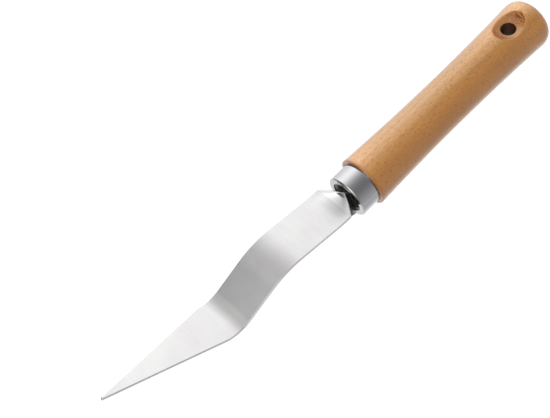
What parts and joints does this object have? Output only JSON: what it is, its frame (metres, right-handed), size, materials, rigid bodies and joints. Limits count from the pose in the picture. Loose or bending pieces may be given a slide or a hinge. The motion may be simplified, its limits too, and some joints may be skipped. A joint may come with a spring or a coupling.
{
  "type": "hand weeder",
  "caption": "Long-pointed cranked steel weeding blade set in a turned wooden handle through a metal ferrule, with a dished hang hole through the butt.",
  "frame": {"origin": "centre of the hang hole, on the handle's axis", "axes": "+X along the handle's axis towards its butt, with the point of the blade at -X; +Z along the hang hole, on the side of the blade's upper face; Y across the blade"},
  "size_m": [0.3072, 0.0294, 0.0424],
  "materials": {
    "blade_steel": "polished stainless sheet, dull cut edges",
    "ferrule_steel": "polished drawn steel",
    "beech": "fine-sanded beech under a thin clear lacquer, raw in the dishes",
    "adhesive": "dull set epoxy"
  },
  "bodies": {
    "root": {"blade": "blade_steel", "ferrule": "ferrule_steel", "handle": "beech", "tang_adhesive": "adhesive"}
  },
  "joints": []
}
